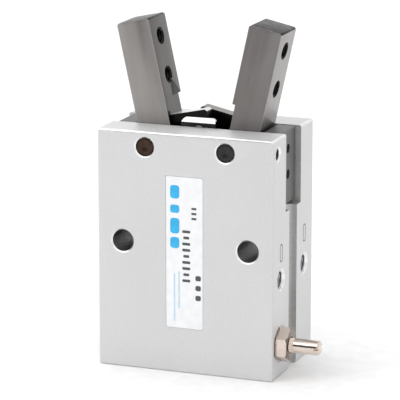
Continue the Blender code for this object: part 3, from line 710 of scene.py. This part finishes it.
def make_housing():
    """The block starts with rounded edges, and every hollow is then cut from it."""
    body = box("housing", BODY_LOW, BODY_HIGH)
    bevel(body, BODY_EDGE, 3)
    settle(body)
    slot = box("slot", (BODY_LOW.x - OVERCUT, -SLOT_HALF, SLOT_FLOOR),
               (BODY_HIGH.x + OVERCUT, SLOT_HALF, BODY_TOP + OVERCUT))
    label_x = LABEL_HIGH.x + LABEL_ROOM
    recess = box("recess", (-label_x, FRONT_Y - OVERCUT, LABEL_LOW.z - LABEL_ROOM),
                 (label_x, FRONT_Y + LABEL_RECESS, LABEL_HIGH.z + LABEL_ROOM))
    cutters = [slot, groove_cutter(-1), groove_cutter(1), recess, cylinder_cutter(),
               *fixing_cutters(-1), *fixing_cutters(1), *air_cutters()]
    boolean(body, cutters)
    settle(body, cutters)
    body.data.transform(body.matrix_basis)
    body.matrix_basis = Matrix.Identity(4)
    dress(body, anodised(), shaded_bore(), shaded_milled(), painted_highlight_rim())
    bore, mill, rim = range(1, 4)
    # Painted shade: the hole walls are given the darker aluminium.
    paint(body, bore, in_hole)
    # Painted shade: the slot and groove walls are given the greyer aluminium.
    paint(body, mill, in_slot)
    paint(body, mill, in_groove)
    # Painted highlight on the broken edges of the holes.
    paint(body, rim, on_mouth)
    # Painted highlight along the housing's top edge.
    paint(body, rim, on_top_edge)
    stand_for(body, "housing", "housing", "body")


# ---- fingers ------------------------------------------------------------------------------------

def lever_outline():
    """The lever from the side, with its shaft at (0, 0)."""
    edge = 0.5 * MM
    top_edge = 0.4 * MM
    heel = arc((0, 0), FINGER_OUTER, 0, -90, 25)
    return [
        (FINGER_OUTER - top_edge, FINGER_TOP), (FINGER_OUTER, FINGER_TOP - top_edge),
        *heel,
        (ARM_TIP + edge, ARM_BOTTOM), (ARM_TIP, ARM_BOTTOM + edge),
        (ARM_TIP, ARM_TOP - edge), (ARM_TIP + edge, ARM_TOP),
        (FINGER_INNER, ARM_TOP),
        (FINGER_INNER, FINGER_TOP - top_edge), (FINGER_INNER + top_edge, FINGER_TOP),
    ]


def fork_outline():
    """The open-ended slot in the arm that takes the crosshead's pin."""
    half = FORK_SLOT / 2
    root = arc((FORK_ROOT + half, 0), half, -90, 90, 17)
    return [(ARM_TIP - OVERCUT, -half), *root, (ARM_TIP - OVERCUT, half)]


def make_finger(side, finishes):
    """One lever. Both are the same part, and the left one is turned half a turn about Z.

    The finishes are for its flanks, its outer face, its inner face, the top of its arm, the arm's
    shaded flanks, the end of the finger and the edges round that end. The inner face and the arm's
    flanks are painted shade; the end is painted light and its edges a painted highlight.
    """
    tag = "right" if side > 0 else "left"
    lever = plate("lever_" + tag, lever_outline(), FINGER_HALF)
    bevel(lever, LEVER_EDGE, 3)
    settle(lever)
    cutters = lever_cutters()
    boolean(lever, cutters)
    settle(lever, cutters)
    dress(lever, *finishes)
    paint_lever(lever)
    place = Matrix.Translation(PIVOT) @ Matrix.Rotation(OPEN_ANGLE, 4, "Y")
    turn = 0 if side > 0 else math.pi
    lever.data.transform(Matrix.Rotation(turn, 4, "Z") @ place)
    stand_for(lever, tag + "_finger", "finger_steel", "finger_" + tag)


def lever_cutters():
    """What leaves the arm half as thick and forked, the step in the finger, and the holes."""
    far = 20 * MM
    through = 8 * MM
    shaft_radius = PIN_RADIUS + 0.1 * MM
    inner = FINGER_INNER
    cutters = [
        box("lap_low", (ARM_TIP - OVERCUT, -far, -far), (inner, ARM_GAP, ARM_TOP + OVERCUT)),
        box("lap_high", (ARM_TIP - OVERCUT, ARM_SIDE, -far), (inner, far, ARM_TOP + OVERCUT)),
        box("relief", (inner - OVERCUT, -far, -far), (inner + RELIEF_DEPTH, ARM_GAP, RELIEF_TOP)),
        plate("fork", fork_outline(), far),
        bar("shaft", shaft_radius, (0, -far, 0), (0, far, 0), FINE),
    ]
    for height in FINGER_HOLES:
        cutters.append(threaded("thread", FINGER_THREAD_RADIUS, FINGER_THREAD_DEPTH,
                                FINGER_THREAD_PITCH, (-through, 0, height), (through, 0, height)))
        cutters.append(mouth("outer_mouth", FINGER_THREAD_RADIUS, (FINGER_OUTER, 0, height), (1, 0, 0),
                             FINGER_FLARE))
        cutters.append(mouth("inner_mouth", FINGER_THREAD_RADIUS, (inner, 0, height), (-1, 0, 0),
                             FINGER_FLARE))
    return cutters


def paint_lever(lever):
    """Gives a lever's faces its finishes, which carry painted light and shade, before it leans. The
    later tests win.
    """
    outer_face, shaded_inner_face, arm_top, arm_shade, lit_finger_end, painted_edge_highlight = range(1, 7)
    inner = FINGER_INNER
    edge = 0.1 * MM
    top = FINGER_TOP - 0.35 * MM
    level = 0.9
    sloped = 0.15
    sideways = 0.8
    upward = 0.5
    # Painted light on the finger's end.
    paint(lever, lit_finger_end, lambda middle, normal: normal.z > level and middle.z > top)
    # Painted highlight on the edges round the end.
    paint(lever, painted_edge_highlight, lambda middle, normal: sloped < normal.z < level and middle.z > top)
    paint(lever, outer_face, lambda middle, normal: (normal.x > sideways
                                                     and middle.x > FINGER_OUTER - edge))
    # Painted shade on the inner face.
    paint(lever, shaded_inner_face, lambda middle, normal: (normal.x < -sideways
                                                     and middle.x < inner + RELIEF_DEPTH + edge))
    paint(lever, arm_shade, lambda middle, normal: middle.x < inner and normal.z < upward)
    paint(lever, arm_top, lambda middle, normal: middle.x < inner + edge and normal.z > upward)
    paint(lever, arm_shade, lambda middle, normal: (abs(middle.y) < FINGER_HALF / 2 and inner + edge
                                                    < middle.x < FINGER_OUTER - edge))


# ---- crosshead ----------------------------------------------------------------------------------

def make_crosshead(*finishes):
    """The yoke either side of the lever arms, ground steel with a painted highlight on top and painted
    shade below.
    """
    x = YOKE_HIGH.x
    half = YOKE_HIGH.y
    top = YOKE_HIGH.z
    corner = YOKE_CORNER
    outline = [(x, YOKE_LOW.z), *arc((x - corner, top - corner), corner, 0, 90, 9),
               *arc((-x + corner, top - corner), corner, 90, 180, 9), (-x, YOKE_LOW.z)]
    yoke = plate("yoke", outline, half)
    bevel(yoke, YOKE_EDGE, 2)
    settle(yoke)
    room = ARM_SIDE + 0.3 * MM
    hole_radius = PIN_RADIUS + 0.15 * MM
    wide = x + OVERCUT
    chamfer_width = 1 * MM
    chamfer_half = chamfer_width / math.sqrt(2)
    cutters = [
        box("yoke_gap", (-wide, -room, CROSS_PIN_Z - YOKE_FLOOR_BELOW_PIN),
            (wide, room, top + OVERCUT)),
        bar("cross_hole", hole_radius, (0, -2 * half, CROSS_PIN_Z), (0, 2 * half, CROSS_PIN_Z), FINE),
        bar("spigot_hole", SPIGOT_HOLE_RADIUS, (0, 0, YOKE_LOW.z - OVERCUT),
            (0, 0, YOKE_LOW.z + SPIGOT_HOLE_DEEP), FINE),
    ]
    for side in (-1, 1):
        chamfer = box("chamfer", (-wide, -chamfer_half, -chamfer_half),
                      (wide, chamfer_half, chamfer_half))
        chamfer.location = (0, side * half, top)
        chamfer.rotation_euler = (math.pi / 4, 0, 0)
        cutters.append(chamfer)
    boolean(yoke, cutters)
    settle(yoke, cutters)
    dress(yoke, *finishes)
    painted_shade = 1
    least_rise = 0.3
    # Painted shade on the faces that do not look up.
    paint(yoke, painted_shade, lambda middle, normal: normal.z < least_rise)
    stand_for(yoke, "piston_unit", "yoke_steel", "crosshead")


# ---- small turned and threaded pieces -----------------------------------------------------------

def make_pivot_pins(finishes):
    """Shafts with a rounded rim and a shallow centre drilling at each end."""
    half = (PIN_HIGH.y - PIN_LOW.y) / 2
    rim = SHAFT_RIM
    for side, tag, finish in ((-1, "left", finishes[0]), (1, "right", finishes[1])):
        profile = [(0, half - SHAFT_CENTRE_DEPTH), (SHAFT_CENTRE_RADIUS, half)]
        profile += [(PIN_RADIUS - rim + rim * math.sin(a), half - rim + rim * math.cos(a))
                    for a in np.linspace(0, math.pi / 2, 5)]
        profile += [(radius, -height) for radius, height in reversed(profile)]
        pin = settle(turned("shaft_" + tag, profile))
        pin.rotation_euler = (math.pi / 2, 0, 0)
        pin.location = (side * PIVOT.x, 0, PIVOT.z)
        dress(pin, finish)
        stand_for(pin, "housing", "pin_steel", "pivot_pin_" + tag)


def make_needle(finish):
    """The throttle needle in one turned profile: a slotted plain end, a thread under the nut, a tip."""
    start = NEEDLE_LOW.x
    length = NEEDLE_HIGH.x - start
    edge = 0.35 * MM
    plain = NEEDLE_RADIUS - 0.05 * MM
    thread_high = NUT_HIGH.x - start + 0.9 * MM
    thread_low = NUT_LOW.x - start - 1.0 * MM
    profile = [(0, length), (NEEDLE_RADIUS - edge, length), (NEEDLE_RADIUS, length - edge),
               (NEEDLE_RADIUS, thread_high)]
    for i in range(int((thread_high - thread_low) / NEEDLE_PITCH)):
        crest = thread_high - (i + 1) * NEEDLE_PITCH
        root = (NEEDLE_RADIUS - NEEDLE_THREAD_DEPTH, crest + NEEDLE_PITCH / 2)
        profile += [root, (NEEDLE_RADIUS, crest)]
    groove_low, groove_high = NEEDLE_GROOVE
    shoulder = (plain, 3.3 * MM)
    cone = (0.8 * MM, 2.4 * MM)
    tip = (0.35 * MM, 0)
    profile += [(plain, groove_high), (NEEDLE_GROOVE_RADIUS, groove_high),
                (NEEDLE_GROOVE_RADIUS, groove_low), (plain, groove_low),
                shoulder, cone, tip, (0, 0)]
    needle = turned("throttle_needle", profile, sides=MEDIUM)
    slot_half = 0.3 * MM
    slot_depth = 1.1 * MM
    across = NEEDLE_RADIUS + OVERCUT
    slot = box("slot", (-slot_half, -across, length - slot_depth),
               (slot_half, across, length + OVERCUT))
    boolean(needle, [slot])
    settle(needle, [slot])
    needle.rotation_euler = (0, math.pi / 2, 0)
    needle.location = (start, NEEDLE_MIDDLE.y, NEEDLE_MIDDLE.z)
    dress(needle, finish)
    stand_for(needle, "needle", "needle_nickel", "needle_valve")


def make_lock_nut(*finishes):
    """A hexagon nut with turned chamfers on both faces. Its second finish, a painted dark reflection,
    is for those faces.
    """
    thickness = NUT_HIGH.x - NUT_LOW.x
    flat = (NUT_HIGH.y - NUT_LOW.y) / 2
    corner = flat * 2 / math.sqrt(3)
    edge = 0.08 * MM
    edge_angle = math.radians(25)
    chamfer_depth = 0.65 * MM
    chamfer_top = flat * 0.93 - OVERCUT
    chamfer_out = corner + 0.4 * MM
    hole_radius = NEEDLE_RADIUS + 0.12 * MM
    hole_mouth = NEEDLE_RADIUS + 0.4 * MM + OVERCUT
    hole_flare = 0.3 * MM
    nut = bar("lock_nut", corner, (0, 0, 0), (0, 0, thickness), 6)
    bevel(nut, edge, 2, edge_angle)
    settle(nut)
    round_off = turned("round_off", [
        (0, thickness + OVERCUT), (chamfer_top, thickness + OVERCUT),
        (chamfer_out, thickness - chamfer_depth), (chamfer_out, chamfer_depth),
        (chamfer_top, -OVERCUT), (0, -OVERCUT),
    ])
    hole = turned("hole", [
        (0, thickness + OVERCUT), (hole_mouth, thickness + OVERCUT),
        (hole_radius, thickness - hole_flare), (hole_radius, -OVERCUT), (0, -OVERCUT),
    ])
    boolean(nut, [round_off], "INTERSECT")
    boolean(nut, [hole])
    settle(nut, [round_off, hole])
    flats_front = Matrix.Rotation(math.pi / 2, 4, "Y") @ Matrix.Rotation(math.pi / 2, 4, "Z")
    nut.matrix_world = (Matrix.Translation((NUT_LOW.x, NEEDLE_MIDDLE.y, NEEDLE_MIDDLE.z))
                        @ flats_front @ nut.matrix_basis)
    dress(nut, *finishes)
    shaded_face = 1
    least_rise = 0.4
    # Painted dark reflection on the nut's end faces.
    paint(nut, shaded_face, lambda middle, normal: abs(normal.z) > least_rise)
    stand_for(nut, "housing", "needle_nickel", "needle_lock_nut")


def make_end_cap(finish):
    """The cylinder's turned end disc, grooved for its seal, with a step that the ring sits on."""
    outer = CAP_HIGH.x
    top = CAP_HIGH.z
    top_edge = 0.4 * MM
    step_edge = 0.2 * MM
    boss_edge = 0.3 * MM
    groove_low, groove_high = CAP_SEAL_GROOVE
    cap = turned("end_disc", [
        (0, top), (outer - top_edge, top), (outer, top - top_edge), (outer, groove_high),
        (CAP_GROOVE_RADIUS, groove_high), (CAP_GROOVE_RADIUS, groove_low), (outer, groove_low),
        (outer, CAP_STEP + step_edge), (outer - step_edge, CAP_STEP),
        (CAP_BOSS_RADIUS + step_edge, CAP_STEP), (CAP_BOSS_RADIUS, CAP_STEP - step_edge),
        (CAP_BOSS_RADIUS, boss_edge), (CAP_BOSS_RADIUS - boss_edge, 0), (0, 0),
    ])
    settle(cap)
    dress(cap, finish)
    stand_for(cap, "housing", "cap_alloy", "end_cap")


# ---- label --------------------------------------------------------------------------------------

def rounded_rectangle(width, height, radius, count=7):
    """An outline round the origin, with count points to each corner."""
    points = []
    for x, z, start in ((1, 1, 0), (-1, 1, 90), (-1, -1, 180), (1, -1, 270)):
        centre = (x * (width / 2 - radius), z * (height / 2 - radius))
        points += arc(centre, radius, start, start + 90, count)
    return points


def print_bar(name, finish, across, up, width, height):
    """One plain printed shape. across and up are its middle, from the label's middle, in mm."""
    thickness = 0.012 * MM
    proud = 0.8 * thickness
    width *= MM
    height *= MM
    mark = plate(name, rounded_rectangle(width, height, min(width, height) * 0.3, 4), thickness)
    middle = (LABEL_LOW + LABEL_HIGH) / 2
    mark.location = (middle.x + across * MM, LABEL_LOW.y - proud, middle.z + up * MM)
    settle(mark)
    dress(mark, finish)
    stand_for(mark, "housing", "label_film")


def make_label():
    """A pale film with plain bars and ticks in place of any print."""
    middle = (LABEL_LOW + LABEL_HIGH) / 2
    size = LABEL_HIGH - LABEL_LOW
    film = plate("label", rounded_rectangle(size.x, size.z, 0.5 * MM), size.y / 2)
    film.location = middle
    settle(film)
    dress(film, label_film())
    stand_for(film, "housing", "label_film", "label_plate")
    cyan = ink("cyan_ink", (0.02, 0.36, 0.66))
    black = ink("grey_ink", (0.06, 0.06, 0.065))
    pale = ink("pale_ink", (0.42, 0.58, 0.70))
    for i, height in enumerate((3.06, 1.87, 3.57, 2.55)):
        print_bar(f"cyan_bar_{i}", cyan, across=-2.3, up=14.0 - 3.9 * i, width=2.2, height=height)
    for i in range(9):
        width = 1.4 if i % 3 == 1 else 1.9
        print_bar(f"grey_dash_{i}", black, across=0.45, up=5.0 - 1.42 * i, width=width, height=0.62)
    for i in range(3):
        print_bar(f"grey_tick_{i}", black, across=2.3, up=10.4 - 1.15 * i, width=1.2, height=0.5)
        print_bar(f"grey_square_{i}", black, across=3.3, up=-5.6 - 2.3 * i, width=1.3, height=1.2)
    for i, (up, height) in enumerate(((-8.6, 8.6), (-10.4, 11.0))):
        print_bar(f"pale_line_{i}", pale, across=-1.3 - 1.1 * i, up=up, width=0.34, height=height)


def make_port_marks(finish):
    """Two plain outlined dashes on the right side, one above each port."""
    thickness = 0.01 * MM
    width = 1.7 * MM
    height = 4.2 * MM
    line = 0.3 * MM
    for y, up in ((-PORT_Y, 6.2 * MM), (PORT_Y, 7.2 * MM)):
        mark = plate("port_mark", rounded_rectangle(width, height, 0.7 * MM), thickness)
        window = plate("window", rounded_rectangle(width - 2 * line, height - 2 * line, 0.5 * MM),
                       OVERCUT)
        boolean(mark, [window])
        settle(mark, [window])
        mark.rotation_euler = (0, 0, math.pi / 2)
        mark.location = (SIDE_X + thickness / 2, y, PORT_Z + up)
        dress(mark, finish)
        stand_for(mark, "housing", "label_film")


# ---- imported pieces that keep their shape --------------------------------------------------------

def dress_packed(finishes):
    """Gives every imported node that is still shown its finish."""
    for name, finish in finishes.items():
        dress(NODES[name], finish)


# ---- stage --------------------------------------------------------------------------------------

def make_floor():
    half_width = 3.0
    gap = 0.02 * MM
    shape = bmesh.new()
    bmesh.ops.create_grid(shape, x_segments=1, y_segments=1, size=half_width)
    floor = from_bmesh("floor", shape, (0, 0, cad_low[2] - gap))
    dress(floor, surface("pale_floor", (0.90, 0.90, 0.90), (0.92, 0.92, 0.92), 0.8, metallic=0.0,
                         grain=300.0, bump=0.02, blotch=30.0))


def make_key_light():
    """A square soft light from the front left and above, aimed at the middle of the gripper."""
    place = Vector((-0.45, -0.60, 0.60))
    aim = Vector((0, 0, 40 * MM))
    width = 0.5
    data = bpy.data.lights.new("key", "AREA")
    data.shape = "RECTANGLE"
    data.size = width
    data.size_y = width
    data.energy = KEY_POWER
    light = bpy.data.objects.new("key", data)
    light.location = place
    light.rotation_euler = (aim - place).to_track_quat("-Z", "Y").to_euler()
    light.visible_camera = False
    bpy.context.scene.collection.objects.link(light)


def make_tent():
    """A bright tent: lightest from the front left and above, dimmer to the right, with one dark gap."""
    world = bpy.data.worlds.new("studio")
    world.use_nodes = True
    nodes = world.node_tree.nodes
    links = world.node_tree.links
    background = nodes["Background"]
    background.inputs["Color"].default_value = (1.0, 1.0, 1.0, 1.0)
    heading = nodes.new("ShaderNodeTexCoord").outputs["Generated"]

    def towards(direction):
        dot = nodes.new("ShaderNodeVectorMath")
        dot.operation = "DOT_PRODUCT"
        dot.inputs[1].default_value = Vector(direction).normalized()
        links.new(heading, dot.inputs[0])
        return dot.outputs["Value"]

    gap_strength = 0.06
    gap_outside = 0.90
    gap_inside = 0.97
    slope = ranged(nodes, links, towards(BRIGHT_SIDE), TENT_DIM, TENT_BRIGHT, -1.0, 1.0)
    gap = ranged(nodes, links, towards(DARK_GAP), 1.0, gap_strength, gap_outside, gap_inside)
    product = nodes.new("ShaderNodeMath")
    product.operation = "MULTIPLY"
    links.new(slope, product.inputs[0])
    links.new(gap, product.inputs[1])
    links.new(product.outputs["Value"], background.inputs["Strength"])
    bpy.context.scene.world = world


def make_camera():
    """A long lens from the front right and a little above, aimed near the gripper's middle."""
    azimuth = math.radians(20.891)
    elevation = math.radians(13.386)
    distance = 0.59784
    aim = Vector((-1.502 * MM, 0, 37.11 * MM))
    level = math.cos(elevation)
    back = Vector((math.sin(azimuth) * level, -math.cos(azimuth) * level, math.sin(elevation)))
    data = bpy.data.cameras.new("camera")
    data.lens = 235.4
    data.sensor_width = 36.0
    camera = bpy.data.objects.new("camera", data)
    camera.location = aim + back * distance
    camera.rotation_euler = (-back).to_track_quat("-Z", "Y").to_euler()
    bpy.context.scene.collection.objects.link(camera)
    bpy.context.scene.camera = camera


# ---- the whole picture --------------------------------------------------------------------------

bpy.context.scene.view_settings.view_transform = "Standard"

nickel = nickel_brass()
steel = ground_steel()
black = black_oxide()
nitrile = rubber()
amber = urethane()
cover = cover_finish()

make_housing()
# Painted light and shade: the left lever's flanks and arm top are painted lighter, the right lever's
# darker.
make_finger(-1, lever_finishes(-1, flank=((0.27, 0.255, 0.25), (0.33, 0.315, 0.305)),
                               outer=((0.30, 0.29, 0.285), (0.38, 0.37, 0.36)),
                               arm_top=((0.70, 0.69, 0.68), (0.85, 0.84, 0.83))))
make_finger(1, lever_finishes(1, flank=((0.175, 0.165, 0.16), (0.23, 0.215, 0.21)),
                              outer=((0.30, 0.285, 0.28), (0.38, 0.365, 0.355)),
                              arm_top=((0.20, 0.195, 0.19), (0.28, 0.27, 0.265))))
# Painted highlight for the yoke's top, painted shade for the faces below.
make_crosshead(ground_steel("highlit_yoke_steel", (0.80, 0.80, 0.80), (0.95, 0.95, 0.95)),
               lever_finish("painted_shade_yoke_steel", (0.02, 0.02, 0.02), (0.045, 0.043, 0.042)))
make_pivot_pins((pin_steel("browned_steel", (0.030, 0.018, 0.013), (0.075, 0.048, 0.037)),
                 pin_steel("blued_steel", (0.022, 0.022, 0.022), (0.055, 0.053, 0.052))))
make_needle(nickel)
# The nut's end faces get a painted dark reflection.
make_lock_nut(nickel, surface("shaded_brass_face", (0.16, 0.12, 0.10), (0.26, 0.21, 0.18), 0.22,
                              grain=700.0, bump=0.06, blotch=220.0, edge=(0.80, 0.72, 0.66)))
make_end_cap(turned_alloy("turned_cap_alloy", (0.55, 0.55, 0.56), (0.70, 0.70, 0.71)))
make_label()
make_port_marks(ink("side_ink", (0.10, 0.10, 0.105)))
dress_packed({
    "side_cover_left": cover,
    "side_cover_right": cover,
    "cover_screw_lower_left": black,
    "cover_screw_upper_left": black,
    "cover_screw_lower_right": black,
    "cover_screw_upper_right": black,
    "pin_lock_screw_left": black,
    "pin_lock_screw_right": black,
    "crosshead_pin": steel,
    "piston_rod": ground_steel("chromed_rod", (0.66, 0.66, 0.67), (0.76, 0.76, 0.77)),
    "piston": turned_alloy("chromated_alloy", (0.55, 0.50, 0.34), (0.68, 0.63, 0.46)),
    "piston_nut": steel,
    "piston_seal": nitrile,
    "magnet_ring": rubber("bonded_magnet", (0.06, 0.055, 0.055), (0.11, 0.10, 0.10)),
    "wear_ring": amber,
    "rod_bushing": bronze(),
    "rod_seal": nitrile,
    "seal_retainer": steel,
    "head_bumper": amber,
    "base_bumper": amber,
    "end_cap_oring": nitrile,
    "retaining_ring": phosphated_spring(),
    "passage_plug": steel,
    "needle_oring": nitrile,
})
make_floor()
make_tent()
make_key_light()
make_camera()
